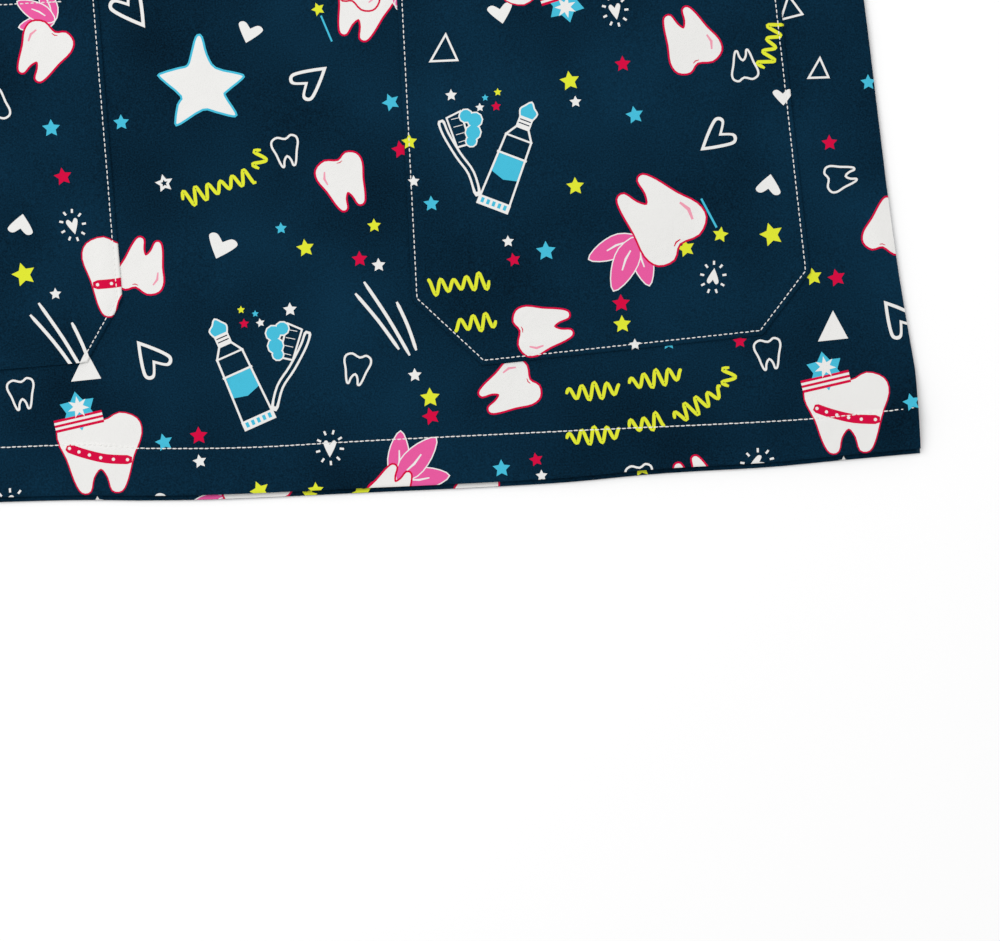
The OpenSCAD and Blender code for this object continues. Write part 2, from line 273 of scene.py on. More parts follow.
def lie_down():
    """Heights of the front over the lattice, from a sheet that settles under its own weight."""
    grid_u, grid_v = np.meshgrid(lattice_u, lattice_v, indexing="ij")
    points = np.column_stack([grid_u.ravel(), grid_v.ravel()])
    edge = np.min([distance(points, line) for line in sealed], axis=0)
    heights = CROWN * ease(edge / 70) * (1 + 0.18 * ripples(*points.T))
    above_neck = neck_point + (0, 20)
    v_hole = join(inner_v, above_neck, flip(above_neck[None]))
    use = inside(points, inset(silhouette, 0.5)) & ~inside(points, v_hole)
    number = np.full(len(points), -1)
    number[use] = np.arange(use.sum())
    number = number.reshape(grid_u.shape)
    corners = [number[:-1, :-1], number[1:, :-1], number[1:, 1:], number[:-1, 1:]]
    quads = np.column_stack([c.ravel() for c in corners])
    quads = quads[(quads >= 0).all(axis=1)]
    at = np.column_stack([points[use], heights[use] + 2]) * MM
    sheet = new_object("lie_sheet", at.tolist(), quads.tolist())
    pins = sheet.vertex_groups.new(name="pins")
    pins.add(np.flatnonzero(edge[use] < SPACING).tolist(), 1.0, "REPLACE")
    table = flat_square("lie_table", 1)
    table.modifiers.new("Collision", "COLLISION")
    table.collision.thickness_outer = 0.001
    cloth = sheet.modifiers.new("Cloth", "CLOTH")
    cloth.settings.quality = 6
    cloth.settings.mass = 0.01
    cloth.settings.tension_stiffness = 20
    cloth.settings.compression_stiffness = 20
    cloth.settings.bending_stiffness = 0.08
    cloth.settings.vertex_group_mass = "pins"
    cloth.settings.shrink_min = -0.004
    cloth.collision_settings.distance_min = 0.001
    cloth.point_cache.frame_start = 1
    cloth.point_cache.frame_end = SETTLE_FRAMES
    for now in range(1, SETTLE_FRAMES + 1):
        bpy.context.scene.frame_set(now)
    shape = sheet.evaluated_get(bpy.context.evaluated_depsgraph_get()).to_mesh()
    settled = np.empty(len(shape.vertices) * 3)
    shape.vertices.foreach_get("co", settled)
    settled = settled.reshape(-1, 3)[:, 2] / MM - 1.5
    bpy.context.scene.frame_set(1)
    for thing in (sheet, table):
        bpy.data.objects.remove(thing, do_unlink=True)
    out = np.zeros(len(points))
    out[use] = np.clip(settled, 0, CROWN + 2)
    return soften(out.reshape(grid_u.shape), use.reshape(grid_u.shape))


def soften(heights, known):
    """Fills the lattice outside the sheet from its neighbours and evens out single points."""
    h, k = heights.copy(), known.astype(float)
    for _ in range(3):
        total, weight = np.zeros_like(h), np.zeros_like(h)
        for du, dv in ((0, 0), (1, 0), (-1, 0), (0, 1), (0, -1)):
            total += np.roll(h * k, (du, dv), (0, 1))
            weight += np.roll(k, (du, dv), (0, 1))
        filled = total / np.maximum(weight, 1)
        h = np.where(known, 0.5 * h + 0.5 * filled, filled)
        k = np.maximum(k, (weight > 0).astype(float))
    return h


heights = lie_down()


def lattice_height(points):
    p = np.asarray(points, float)
    i = np.clip((p[:, 0] - lattice_u[0]) / SPACING, 0, len(lattice_u) - 1.001)
    j = np.clip((p[:, 1] - lattice_v[0]) / SPACING, 0, len(lattice_v) - 1.001)
    i0, j0 = i.astype(int), j.astype(int)
    s, t = ease(i - i0) * 0.5 + (i - i0) * 0.5, ease(j - j0) * 0.5 + (j - j0) * 0.5
    h = heights
    return ((h[i0, j0] * (1 - s) + h[i0 + 1, j0] * s) * (1 - t)
            + (h[i0, j0 + 1] * (1 - s) + h[i0 + 1, j0 + 1] * s) * t)


def bump_along(points, line, width, height, soft):
    """A raised strip on both sides of a line."""
    return height * (1 - ease((distance(points, line) - width) / soft))


def front_under(points):
    """Height of the underside of the front: over the back, the hems and the seam allowances."""
    p = np.asarray(points, float)
    hem = 3 * CLOTH * (1 - ease((p[:, 1] - hem_fold(p[:, 0]) + 0.6) / 1.6))
    seam_lines = [full_side, armhole, join(SHOULDER_TIP, band_point)]
    seam_lines += [flip(line) for line in seam_lines]
    seams = np.max([bump_along(p, line, SEAM_WIDTH, 2 * CLOTH, 4) for line in seam_lines], axis=0)
    edge = np.min([distance(p, line) for line in sealed], axis=0)
    seams *= 0.35 + 0.65 * ease(edge / 3)
    return BACK_TOP + LAYER_GAP + np.maximum(hem, seams) + lattice_height(p)


def pressed(points, line):
    """How far a line of stitches presses the cloth in."""
    return PRESS_DEPTH * (1 - ease(distance(points, line) / PRESS_WIDTH))


def front_top(points):
    """Height of the outside of the front, pressed in along its lines of stitching."""
    p = np.asarray(points, float)
    press = [pressed(p, line) for line in (front_hem_stitches, *v_stitches)]
    return front_under(p) + CLOTH - np.max(press, axis=0)


front_hem_stitches = hem_line(0, hem_fold) * ((HEM_HALF - 1.5) / HEM_HALF, 1)
v_stitches = [shifted(np.array([outer_v - (0, 4), band_point]), -1.8)]
v_stitches.append(flip(v_stitches[0]))


def pocket_lift(points, outline):
    """How far a pocket's outside stands over the front: folded edges, stitches and a slack middle."""
    p = np.asarray(points, float)
    rim = distance(p, outline[np.r_[5, 0, 1, 2, 3, 4]])
    mouth = POCKET_TOP - p[:, 1]
    edge = np.minimum(rim, mouth)
    round_edge = np.sqrt(1 - (1 - np.clip(edge / 0.7, 0, 1)) ** 2)
    folded = np.maximum(1 - ease((rim - 8) / 2.5), 1 - ease((mouth - MOUTH_DEPTH) / 2))
    slack = ease((rim - 8) / 55) * (1.2 + 2.0 * ease((p[:, 1] - 60) / 160))
    stitched = np.minimum(np.abs(rim - EDGE_STITCH), np.abs(mouth - MOUTH_DEPTH))
    wave = 0.25 * ease(rim / 15) * np.sin(p[:, 0] / 13 + p[:, 1] / 29) * np.sin(p[:, 1] / 23)
    layers = CLOTH * (0.35 + 0.75 * round_edge) + CLOTH * 0.9 * folded * round_edge
    return layers - 0.22 * (1 - ease(stitched / 1.1)) + slack + wave


# ---------------------------------------------------------------- print
# A motif is a list of (colour, outline), from the ground up. "ground" cuts back to the cloth.


def turned(outline, degrees, size=1.0, at=(0, 0)):
    """An outline turned anticlockwise, resized and then moved."""
    a = math.radians(degrees)
    spin = np.array([(math.cos(a), math.sin(a)), (-math.sin(a), math.cos(a))])
    return np.asarray(outline, float) * size @ spin + at


def anticlockwise(outline):
    x, y = np.asarray(outline, float).T
    return outline if (x * np.roll(y, -1) - np.roll(x, -1) * y).sum() > 0 else np.asarray(outline)[::-1]


def grown(outline, by):
    return inset(anticlockwise(outline), -by)


def star_outline(points=5, waist=0.5):
    a = np.arange(2 * points) * math.pi / points + math.pi / 2
    r = np.where(np.arange(2 * points) % 2, waist, 1.0)
    return np.column_stack([r * np.cos(a), r * np.sin(a)])


HEART = [(0, -0.59), (0.19, -0.28), (0.35, 0.02), (0.43, 0.25), (0.35, 0.39), (0.2, 0.39), (0, 0.15)]
HEART_HOLE = [(0, -0.44), (0.12, -0.24), (0.275, 0.05), (0.345, 0.24), (0.3, 0.315), (0.2, 0.3), (0, 0.04)]


def heart_outline(half=HEART, steps=5):
    """A drawn heart one unit tall, with almost straight flanks and a sharp tip, from its right half."""
    curve = smooth(half, steps)
    return join(curve, flip(curve[1:-1]))


def disc(radius, at=(0, 0), steps=10, tall=1.0):
    a = np.arange(steps) / steps * 2 * math.pi
    return np.column_stack([radius * np.cos(a), radius * tall * np.sin(a)]) + at


def box(width, height, at=(0, 0)):
    w, h = width / 2, height / 2
    return np.array([(-w, -h), (w, -h), (w, h), (-w, h)]) + at


def corner_box(low, high):
    return np.array([low, (high[0], low[1]), high, (low[0], high[1])], float)


def stroke(line, width):
    """A drawn line: a strip that narrows a little at both ends."""
    line = np.asarray(line, float)
    taper = width / 2 * np.array([0.6] + [1.0] * (len(line) - 2) + [0.6])[:, None]
    side_way = shifted(line, 1.0) - line
    return join(line - side_way * taper, (line + side_way * taper)[::-1])


TOOTH = smooth([(0.04, 0.4), (-0.2, 0.48), (-0.4, 0.39), (-0.44, 0.2), (-0.35, -0.06), (-0.28, -0.34),
                (-0.21, -0.49), (-0.12, -0.48), (-0.08, -0.31), (0, -0.2), (0.07, -0.31), (0.11, -0.48),
                (0.21, -0.49), (0.28, -0.34), (0.35, -0.06), (0.44, 0.22), (0.4, 0.41), (0.22, 0.49)],
               3, closed=True)
EDGED_STAR_WIDTH = 39    # of the points that edged_star lists
TUBE_LENGTH = 50        # of the tube and brush as tube_and_brush lists them
PETAL = smooth([(0, 0), (-0.2, 0.3), (-0.17, 0.7), (0, 1), (0.17, 0.7), (0.2, 0.3)], 3, closed=True)


def star(colour):
    return lambda size: [(colour, star_outline() * size * 0.44)]


def cut_star(size):
    return [("white", star_outline() * size / 2), ("ground", star_outline() * size / 5)]


def edged_star(size):
    """A soft star with slightly uneven arms and a blue edge."""
    arms = np.array([(-1.5, 20.4), (0.5, 20.6), (2.6, 12.5), (6.8, 6), (18, 3), (18.8, 1.4), (12, -4),
                     (10.6, -6.5), (15.4, -14.4), (14.4, -15.6), (7, -13.6), (0.6, -12.4), (-10.2, -18.8),
                     (-11.6, -17.8), (-10.4, -10.5), (-8.8, -6.2), (-18.2, 2.4), (-17.8, 4), (-10.5, 6),
                     (-5.6, 7.4), (-3.6, 13)]) / EDGED_STAR_WIDTH
    body = smooth(arms * size, 3, closed=True)
    return [("cyan", grown(body, 0.9)), ("white", body)]


def heart(size):
    return [("white", heart_outline() * (1.25, 0.85) * size)]


def open_heart(size):
    return [("white", heart_outline() * size), ("ground", heart_outline(HEART_HOLE) * size)]


def ray_heart(size):
    parts = [("white", heart_outline(steps=3) * (0.45, 0.52) * size)]
    for i in range(9):
        a = math.radians(40 * i + 75)
        at = size * 0.37 * math.cos(a), size * 0.48 * math.sin(a)
        parts.append(("white", turned(box(0.9, size * 0.13), 40 * i - 15, 1, at)))
    return parts


def triangle(size):
    return [("white", np.array([(-0.5, -0.45), (0.5, -0.4), (0.05, 0.55)]) * size)]


def open_triangle(size):
    outline = triangle(size)[0][1]
    return [("white", outline), ("ground", inset(outline, 0.9))]


def open_tooth(size):
    return [("white", TOOTH * size), ("ground", inset(anticlockwise(TOOTH * size), 0.9))]


def tooth(size):
    """A plain molar with a red edge and a soft highlight."""
    shine = stroke(np.array([(-0.3, 0.05), (-0.32, 0.18), (-0.27, 0.3)]) * size, size * 0.045)
    fold = stroke(np.array([(0.0, 0.37), (0.06, 0.36), (0.11, 0.38)]) * size, size * 0.02)
    return [("red", grown(TOOTH * size, 0.8)), ("white", TOOTH * size), ("blush", shine), ("red", fold)]


def banded_tooth(size):
    """A large plain molar with a dotted band across it, a striped bar on its corner and a star above."""
    body = TOOTH * (1.2, 1.0)
    parts = [("red", grown(body * size, 0.6)), ("white", body * size)]
    corner = np.array((-0.25, 0.4)) * size
    parts.append(("cyan", turned(star_outline(6, 0.62), 8, size * 0.25, corner + (0, size * 0.14))))
    for k, colour in enumerate(("red", "white", "red", "white", "red")):
        parts.append((colour, turned(box(0.62, 0.034, (0, 0.07 - 0.031 * k)), 10, size, corner)))
    parts.append(("white", turned(star_outline(7, 0.45), 8, size * 0.14, corner + (0, size * 0.19))))
    band = smooth([(-0.42, 0.09), (-0.2, 0.0), (0.08, -0.08), (0.4, -0.11)], 4)
    parts.append(("red", stroke(band, 0.115) * size))
    for u, v in band[1:-1:2]:
        parts.append(("white", disc(size * 0.022, (size * u, size * v), 7)))
    return parts


def sprig(size):
    """Three pink leaves with pale edges and veins."""
    parts = []
    for angle, length in ((38, 0.86), (-42, 0.9), (0, 1.0)):
        leaf = turned(PETAL, angle, size * length)
        parts += [("white", grown(leaf, 0.35)), ("pink", inset(anticlockwise(leaf), 0.15))]
        vein = stroke([(0, 0.25), (0.02, 0.42), (0, 0.62)], 0.04)
        parts.append(("white", turned(vein, angle, size * length)))
    return parts


def dash_and_star(size):
    """A short blue bar and a star over it."""
    return [("cyan", box(size * 0.13, size * 2, (0, -size * 1.5))), ("yellow", star_outline() * size / 2)]


def strokes(size):
    """Three drawn lines that come closer together at their lower ends."""
    lines = []
    for top, low in np.array([((-0.318, 0.28), (0.15, -0.32)), ((-0.225, 0.405), (0.265, -0.385)),
                              ((0.125, 0.19), (0.335, -0.33))]):
        middle = (top + low) / 2 + (0.012, 0.008)
        lines.append(("white", stroke(smooth([top, middle, low], 4), 0.036) * size))
    return lines


def squiggle(size):
    """A wavy brush line, about as large as a handwritten word."""
    t = np.linspace(0, 1, 2 + int(size * 1.1))
    tall = 3.0 + 0.8 * np.sin(t * 7 + size)
    line = np.column_stack([(t - 0.5) * size, tall * np.sin(t * size * 1.15)])
    return [("yellow", stroke(smooth(line, 2), 1.5))]


def tube_and_brush(size):
    """A plain tube with two bands of colour and a drop of paste, beside a brush with foam on it."""
    body = np.array([(-7.4, 0), (7.4, 0), (6.3, 33), (3, 38), (-3, 38), (-6.3, 33)])
    drop = smooth([(-2.7, 42.5), (-3.6, 45.2), (-1.6, 46.9), (0.2, 49), (2.2, 46.9), (3.6, 45),
                   (2.7, 42.5)], 3)
    tube = [("white", body), ("ground", inset(body, 0.9)), ("white", box(13.8, 0.9, (0, 24.5))),
            ("cyan", [(-6, 15), (0, 13.6), (6, 15.6), (5.6, 24), (-5.6, 24)]),
            ("white", box(14.8, 4.2, (0, 2.1)))]
    tube += [("cyan", box(1.4, 2.2, (-5.2 + 2.6 * k, 2.2))) for k in range(5)]
    tube += [("white", box(6.4, 5, (0, 40.3))), ("ground", box(5, 0.5, (0, 39.4))),
             ("ground", box(5, 0.5, (0, 41))), ("white", grown(drop, 0.7)), ("cyan", drop),
             ("white", box(12.8, 0.8, (0, 32.8)))]
    handle = smooth([(21.6, 18.6), (19.6, 12.4), (14.6, 2.9), (9.4, -5.3), (6.9, -15.5)], 4)
    head = np.array([(12.4, 22.6), (8.6, 7.2), (15.2, 5.8), (19.4, 19.6)])
    bristles = [stroke([(11 + 0.5 * k, 9.2 + 3.4 * k), (14.2 + 0.9 * k, 8.4 + 3.4 * k)], 0.5)
                for k in range(4)]
    foam = [disc(3.1, (6.6, 17.8)), disc(2.7, (10.4, 19.8)), disc(3.2, (7.6, 12.4)), disc(2.2, (8.6, 8.6))]
    brush = [("white", stroke(handle, 3.4)), ("ground", stroke(handle[1:-1], 1.5)), ("white", head),
             ("ground", inset(anticlockwise(head), 0.8))]
    brush += [("white", line) for line in bristles]
    brush += [("white", grown(blob, 0.6)) for blob in foam] + [("cyan", blob) for blob in foam]
    parts = [(colour, turned(part, 24, 1, (1.2, -25.6))) for colour, part in tube]
    parts += [(colour, part - (0, 4.2)) for colour, part in brush]
    return [(colour, part * size / TUBE_LENGTH) for colour, part in parts]


def mirrored(motif):
    return lambda size: [(colour, flip(part)) for colour, part in motif(size)]


MOTIFS = {
    "red star": star("red"), "cyan star": star("cyan"), "yellow star": star("yellow"),
    "white star": star("white"), "cut star": cut_star, "edged star": edged_star, "heart": heart,
    "open heart": open_heart, "ray heart": ray_heart, "triangle": triangle, "sprig": sprig,
    "open triangle": open_triangle, "open tooth": open_tooth, "tooth": tooth, "strokes": strokes,
    "banded tooth": banded_tooth, "capped tooth": mirrored(banded_tooth), "squiggle": squiggle,
    "dash and star": dash_and_star, "tube and brush": tube_and_brush,
    "brush and tube": mirrored(tube_and_brush),
}

# The print repeats over the cloth: motif, u, v, turn in degrees, size in millimetres
REPEAT = (321, 218)
BODY_PRINT = [
    ("open heart", -51.4, 213, 33, 18), ("open heart", 23.5, 177.5, 126, 16.5),
    ("open heart", -50.5, 62, -144, 17), ("heart", -1, 200, -20, 10), ("heart", -18, 109, -24, 12),
    ("edged star", -23, 179.5, -2, 36), ("open tooth", 12, 148, 8, 14), ("open tooth", 37, 53, -14, 14),
    ("open tooth", 214, 50, 6, 14), ("open tooth", 156, -1, 5, 14), ("open tooth", 249, 124, 100, 14),
    ("squiggle", -18, 134, 17, 32), ("squiggle", 1, 145, 76, 8), ("cut star", -41, 137, 10, 8),
    ("cyan star", -58, 164, 0, 8), ("cyan star", 58, 166.5, 20, 9), ("cyan star", 8, 115, 0, 6),
    ("cyan star", -47, 26, 12, 9), ("cyan star", 97, 7, 0, 9), ("red star", 61, 146, 8, 9),
    ("red star", 41, 100, 0, 8), ("red star", 68, 31, 14, 9), ("red star", -32, 28, 0, 9),
    ("red star", 112, 10, 9, 7), ("red star", 202, 56, 0, 7), ("red star", 245, 139, 0, 8),
    ("red star", 245, 81, 11, 9), ("yellow star", 18, 106, 6, 9), ("yellow star", 48, 114, 0, 7),
    ("yellow star", 68, 39, 0, 10), ("yellow star", -7, 3, 20, 10), ("yellow star", 17, 2, 0, 8),
    ("yellow star", 235, 82, 8, 9), ("white star", 49, 97, 0, 7), ("white star", 62, 49, 0, 7),
    ("white star", -32, 17, 8, 7), ("white star", 114, 3, 0, 6), ("tooth", 36, 133.5, 18, 23),
    ("tooth", 102, 41, -63, 24), ("tooth", 180, -5, 200, 24), ("tooth", -52, 102, 163, 23),
    ("ray heart", 24, 20, -3, 14), ("ray heart", 206.5, 3.5, -65, 14), ("strokes", 50.5, 73.5, -3, 40),
    ("triangle", -79, 60, 0, 13), ("tube and brush", -5, 57, -3, 50), ("yellow star", -11, 81, 0, 4),
    ("red star", -10, 75, 0, 5), ("cyan star", -5, 79, 0, 3.5), ("white star", -3, 75, 10, 4.5),
    ("white star", 10, 80, 0, 7), ("banded tooth", -74.5, 23, 0, 34), ("sprig", 52, 4, -45, 25),
    ("tooth", 49, 0, 150, 21), ("tooth", 48, 208, -20, 27), ("dash and star", 29, 208, 20, 6),
    ("squiggle", 138, 38, 3, 23), ("squiggle", 165, 42, 8, 23), ("squiggle", 137, 19, 4, 23),
    ("squiggle", 160, 23, 10, 15), ("squiggle", 183, 30, 28, 24), ("squiggle", 197, 41, 80, 8),
    ("cyan star", 171.5, 57, 0, 7), ("open triangle", 242, 171, -4, 10),
    ("open triangle", 231, 198, 8, 11), ("sprig", 62, 208, -60, 18),
]
POCKET_PRINT = [
    ("open triangle", 82, 188, -4, 13), ("heart", 107, 202, 8, 10), ("heart", 218, 122, 168, 10),
    ("banded tooth", 125, 222, 184, 34), ("ray heart", 156, 200, 8, 13),
    ("ray heart", 192, 84, 170, 13), ("tooth", 187, 186, 203, 26), ("open tooth", 210, 174, 186, 14),
    ("squiggle", 222, 182, 72, 20), ("squiggle", 83, 87, 184, 26), ("squiggle", 89, 70, 184, 18),
    ("red star", 158, 177, 0, 8), ("red star", 107, 96, 10, 7), ("red star", 152, 75, 0, 9),
    ("yellow star", 135, 171, 6, 10), ("yellow star", 135, 126, 0, 9),
    ("yellow star", 218, 101, 14, 12), ("yellow star", 152, 66, 0, 9), ("yellow star", 65, 149, 0, 8),
    ("white star", 137, 162, 0, 6), ("white star", 105, 104, 0, 6), ("white star", 66, 132, 0, 6),
    ("white star", 157, 57, 0, 6), ("cyan star", 162, 155, 8, 9), ("cyan star", 121, 99, 0, 10),
    ("cyan star", 73, 122, 0, 8), ("open heart", 197, 144, -54, 16),
    ("brush and tube", 100, 143.5, 0, 49), ("white star", 84, 168, 0, 6),
    ("white star", 96, 162, 0, 4.5), ("yellow star", 104, 168, 0, 4), ("cyan star", 98.5, 166, 0, 3.5),
    ("red star", 103, 162, 0, 5), ("yellow star", 181, 97, 12, 9), ("sprig", 160, 103, 154, 25),
    ("tooth", 170, 111, 221, 36), ("dash and star", 196, 102, 205, 7), ("tooth", 118, 66, 98, 24),
    ("heart", 226, 160, 0, 8),
]
SIDE_POCKET_PRINT = [
    ("triangle", -79, 60, 0, 13), ("sprig", -84, 209, 60, 18), ("tooth", -90, 196, -30, 24),
    ("cyan star", -88, 163, 0, 9), ("red star", -84, 142, 8, 9), ("ray heart", -81, 121, 12, 13),
    ("capped tooth", -60, 98, -3, 34), ("white star", -90, 92, 0, 6), ("strokes", -89, 72, -2, 40),
]


def once(entries, moved=(0, 0)):
    """Motifs of a list as (colour, outline)."""
    return [(colour, turned(part, turn, 1, np.add((u, v), moved)))
            for kind, u, v, turn, size in entries for colour, part in MOTIFS[kind](size)]


def spread(entries, moved=(0, 0)):
    """Motifs of a list all over the lattice of repeats."""
    places = [np.multiply(REPEAT, (i, j)) for i in range(-2, 3) for j in range(-1, 4)]
    return [motif for place in places for motif in once(entries, place + moved)]


# What the pockets hide of the body's own print is taken from the pocket's
ALL_PRINT = BODY_PRINT + [entry for entry in POCKET_PRINT if entry[1] < 224 and entry[2] < 200]

# ---------------------------------------------------------------- materials

WEAVE_PITCH = 0.42      # millimetres between threads


def cotton(name, colour, ground=False, rough=0.9, weave=0.35, satin=False):
    """Plain-weave cotton: threads, slubs and creases in the bump, and on the ground an uneven dye."""
    material = bpy.data.materials.new(name)
    material.use_nodes = True
    tree = material.node_tree
    shader = tree.nodes["Principled BSDF"]
    shader.inputs["Base Color"].default_value = (*colour, 1)
    shader.inputs["Specular IOR Level"].default_value = 0.4 if satin else 0.03
    where = tree.nodes.new("ShaderNodeTexCoord").outputs["Object"]

    def node(kind, fed, out=0, **settings):
        """One output of a new node. fed holds numbers and other outputs by socket."""
        new = tree.nodes.new(kind)
        for key, value in settings.items():
            setattr(new, key, value)
        for socket, source in fed.items():
            if isinstance(source, (int, float)):
                new.inputs[socket].default_value = source
            else:
                tree.links.new(source, new.inputs[socket])
        return new.outputs[out]

    def noise(scale, detail, distortion=0.0):
        return node("ShaderNodeTexNoise", {"Vector": where, "Scale": scale, "Detail": detail,
                                           "Distortion": distortion}, "Fac")

    wave = {"Vector": where, "Scale": math.pi / 10 / (WEAVE_PITCH * MM), "Distortion": 0.6, "Detail": 1.0}
    warp, weft = (node("ShaderNodeTexWave", wave, "Fac", bands_direction=way) for way in ("X", "Y"))
    crossing = node("ShaderNodeMath", {0: warp, 1: weft}, operation="MULTIPLY")
    slub = noise(1500.0, 3.0)
    yarn = node("ShaderNodeMath", {0: crossing, 1: slub}, operation="ADD")
    fine = node("ShaderNodeBump", {"Strength": weave, "Distance": 0.12 * MM, "Height": yarn})
    creased = node("ShaderNodeBump", {"Strength": 0.4, "Distance": 1.2 * MM, "Normal": fine,
                                      "Height": noise(55.0, 3.0, 0.8)})
    tree.links.new(creased, shader.inputs["Normal"])
    dull = node("ShaderNodeMapRange", {"Value": slub, "To Min": rough - 0.12, "To Max": rough + 0.08})
    tree.links.new(dull, shader.inputs["Roughness"])
    if ground:
        cloud = node("ShaderNodeMath", {0: noise(14.0, 2.0), 1: 0.45}, operation="MULTIPLY")
        both = node("ShaderNodeMath", {0: slub, 1: 0.55, 2: cloud}, operation="MULTIPLY_ADD")
        dye = tree.nodes.new("ShaderNodeValToRGB")
        for stop, position, share in zip(dye.color_ramp.elements, (0.32, 0.68), (0.36, 1.68)):
            stop.position = position
            stop.color = (*[c * share for c in colour], 1)
        tree.links.new(both, dye.inputs["Fac"])
        tree.links.new(dye.outputs["Color"], shader.inputs["Base Color"])
    return material


NAVY = (0.0022, 0.0187, 0.0392)
navy = cotton("navy_cotton", NAVY, ground=True, weave=0.5)
reverse = cotton("navy_cotton_reverse", (0.014, 0.04, 0.064), ground=True, weave=0.5)
thread_white = cotton("white_thread", (0.8, 0.79, 0.77), rough=0.7, weave=0.3)
label_white = cotton("label_tape", (0.74, 0.73, 0.71), ground=True, rough=0.55, weave=0.3, satin=True)
INKS = {
    "white": (0.79, 0.785, 0.768), "red": (0.62, 0.004, 0.05), "cyan": (0.06, 0.48, 0.66),
    "yellow": (0.7, 0.75, 0.035), "pink": (0.76, 0.1, 0.33), "blush": (0.82, 0.32, 0.42),
}
inks = {name: cotton("ink_" + name, colour, rough=0.88, weave=0.4) for name, colour in INKS.items()}

# ---------------------------------------------------------------- pieces


def world(points, z):
    """Points of a cut at their heights, in the frame's metres."""
    p = np.asarray(points, float)
    return np.column_stack([p[:, 0], p[:, 1] - BODY_LENGTH / 2, z]) * MM


def tessellate(outline, motifs=(), lines=(), spacing=7.0):
    """Triangles of a cut, with its print's outlines and its stitch lines among their edges."""
    low, high = np.min(outline, axis=0), np.max(outline, axis=0)
    points, faces, edges, colours = [], [], [], []

    def add(shape, closed=True):
        start = len(points)
        points.extend(map(tuple, shape))
        numbers = list(range(start, len(points)))
        if closed:
            faces.append(numbers)
        else:
            edges.extend(zip(numbers, numbers[1:]))

    add(divided(anticlockwise(outline), spacing, closed=True))
    colours.append(None)
    for colour, part in motifs:
        if (part.max(axis=0) < low).any() or (part.min(axis=0) > high).any():
            continue
        add(anticlockwise(part))
        colours.append(colour)
    for line in lines:
        add(divided(line, spacing), closed=False)
    us = np.arange(low[0] + spacing / 2, high[0], spacing)
    vs = np.arange(low[1] + spacing / 2, high[1], spacing)
    grid = np.array([(u + spacing / 4 * (-1) ** j, v) for u in us for j, v in enumerate(vs)])
    points.extend(map(tuple, grid[inside(grid, inset(anticlockwise(outline), spacing * 0.4))]))
    verts, _, tris, _, _, origins = delaunay_2d_cdt(points, edges, faces, 1, 1e-4)
    flat = np.array([(p[0], p[1]) for p in verts])
    keep, tints = [], []
    for tri, origin in zip(tris, origins):
        if 0 not in origin:
            continue
        top = max(origin)
        keep.append(tri)
        tints.append(colours[top] if colours[top] not in (None, "ground") else None)
    return flat, keep, tints


def solid(name, flat, tris, top, bottom, materials, slots):
    """A closed sheet between two heights over some of the triangles of a cut."""
    used = sorted({i for tri in tris for i in tri})
    number = {old: new for new, old in enumerate(used)}
    n = len(used)
    verts = np.vstack([world(flat[used], top[used]), world(flat[used], bottom[used])])
    faces, marks, seen = [], [], {}
    for tri, slot in zip(tris, slots):
        a, b, c = (number[i] for i in tri)
        faces += [(a, b, c), (a + n, c + n, b + n)]
        marks += [slot, slot]
        for e in ((a, b), (b, c), (c, a)):
            seen[e] = slot
    for (a, b), slot in seen.items():
        if (b, a) not in seen:
            faces.append((b, a, a + n, b + n))
            marks.append(slot)
    piece = new_object(name, verts.tolist(), faces, materials)
    piece.data.polygons.foreach_set("material_index", marks)
    piece.data.update()
    piece.data.shade_smooth()
    piece.data.set_sharp_from_angle(angle=math.radians(50))
    return piece


def ccw_triangles(flat, tris):
    """The same triangles, each anticlockwise."""
    out = []
    for a, b, c in tris:
        (x1, y1), (x2, y2), (x3, y3) = flat[a], flat[b], flat[c]
        out.append((a, b, c) if (x2 - x1) * (y3 - y1) > (x3 - x1) * (y2 - y1) else (a, c, b))
    return out


def attach(piece, nodes=()):
    """What every piece tells the frame."""
    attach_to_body(piece, "root")
    if nodes:
        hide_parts(*nodes)
    return piece


PRINT_LIFT = 0.05       # how far the print's ink stands over and reaches into the cloth


def level(height):
    return lambda points: np.full(len(points), height)


def cut(name, outline, heights_of, nodes, motifs=(), lines=(), spacing=7.0,
        cloth=None, face="up", thickness=CLOTH):
    """One cut of cloth with its print. heights_of gives its printed side, and face says where that looks.
    Its pieces are returned."""
    flat, tris, tints = tessellate(outline, motifs, lines, spacing)
    tris = ccw_triangles(flat, tris)
    outside = heights_of(flat)
    top, bottom = (outside, outside - thickness) if face == "up" else (outside + thickness, outside)
    piece = attach(solid(name, flat, tris, top, bottom, [cloth or navy], [0] * len(tris)), nodes)
    names = sorted({t for t in tints if t})
    extra = []
    if names:
        chosen = [i for i, t in enumerate(tints) if t]
        ink = solid(name + "_print", flat, [tris[i] for i in chosen], outside + PRINT_LIFT,
                    outside - PRINT_LIFT, [inks[t] for t in names], [names.index(tints[i]) for i in chosen])
        extra.append(attach(ink, ()))
    return [piece, *extra]


def turned_cloth(name, outline, heights_of, node, moved, spacing=12, face="up"):
    """A hem or mouth that is turned in, with its own place in the print."""
    return cut(name, outline, heights_of, [node], motifs=spread(ALL_PRINT, moved), spacing=spacing,
               face=face)


